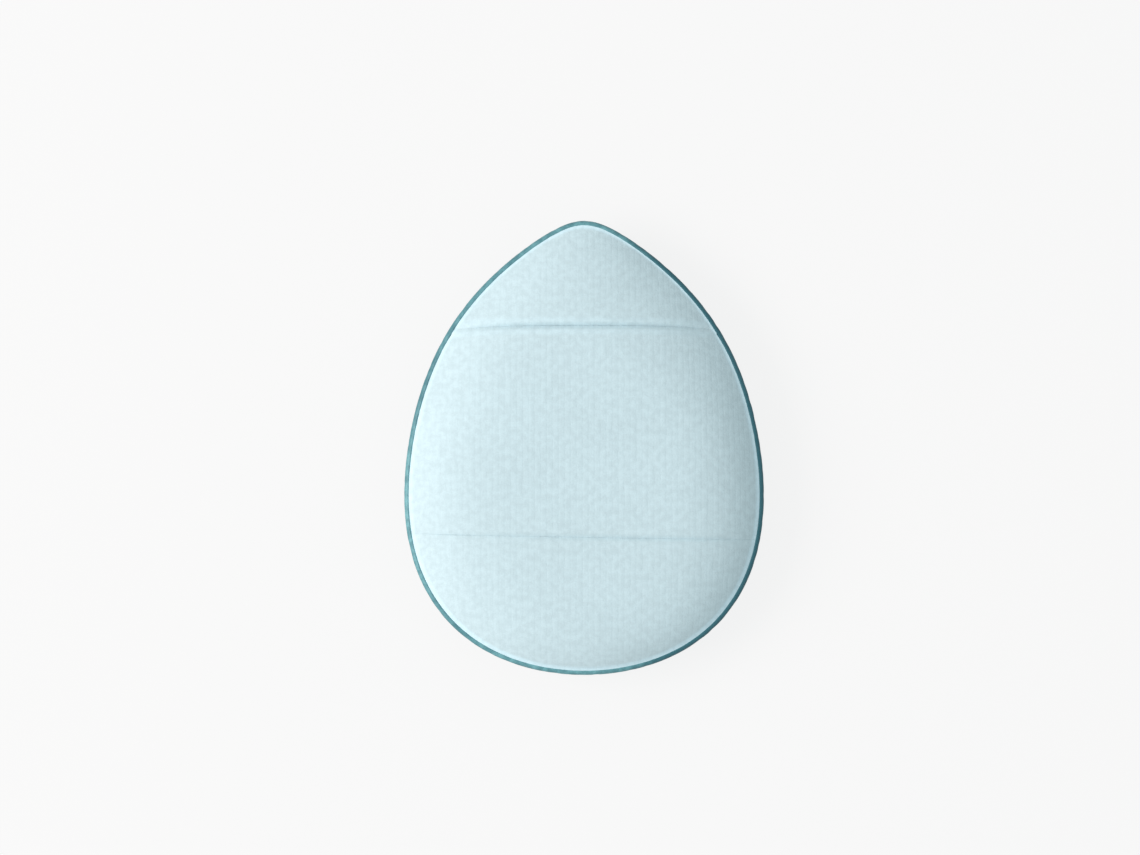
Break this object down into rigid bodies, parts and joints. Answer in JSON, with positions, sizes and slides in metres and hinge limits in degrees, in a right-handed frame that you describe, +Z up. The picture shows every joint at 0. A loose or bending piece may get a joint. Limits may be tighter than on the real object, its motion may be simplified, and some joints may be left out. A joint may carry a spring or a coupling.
{
  "type": "makeup sponge",
  "caption": "Egg-shaped finger puff: a thin domed foam makeup pad with a welded rim, a broad plateau back and an elastic knitted strap for one fingertip.",
  "frame": {"origin": "middle of the footprint, on the surface that the puff's contact face rests on", "axes": "+Z up, out of the strap side; +Y along the length, towards the pointed tip; +X across, to the right when the strap side faces you and the tip points up"},
  "size_m": [0.034, 0.043, 0.0081],
  "materials": {
    "contact_foam": "matte",
    "film": "gloss",
    "adhesive_web": "satin",
    "core_foam": "matte",
    "cover_knit": "matte",
    "strap_knit": "matte",
    "welded_edge": "satin"
  },
  "bodies": {
    "puff": {"contact_face": "contact_foam", "barrier_film": "film", "front_adhesive": "adhesive_web", "foam_core": "core_foam", "back_adhesive": "adhesive_web", "back_cover": "cover_knit", "edge_weld": "welded_edge"},
    "strap": {"finger_strap": "strap_knit"}
  },
  "joints": [
    {"name": "strap_lift", "type": "slide", "parent": "puff", "child": "strap", "axis": [0, 0, 1], "range_m": [0, 0.007], "stiffness_N_per_m": 100}
  ]
}
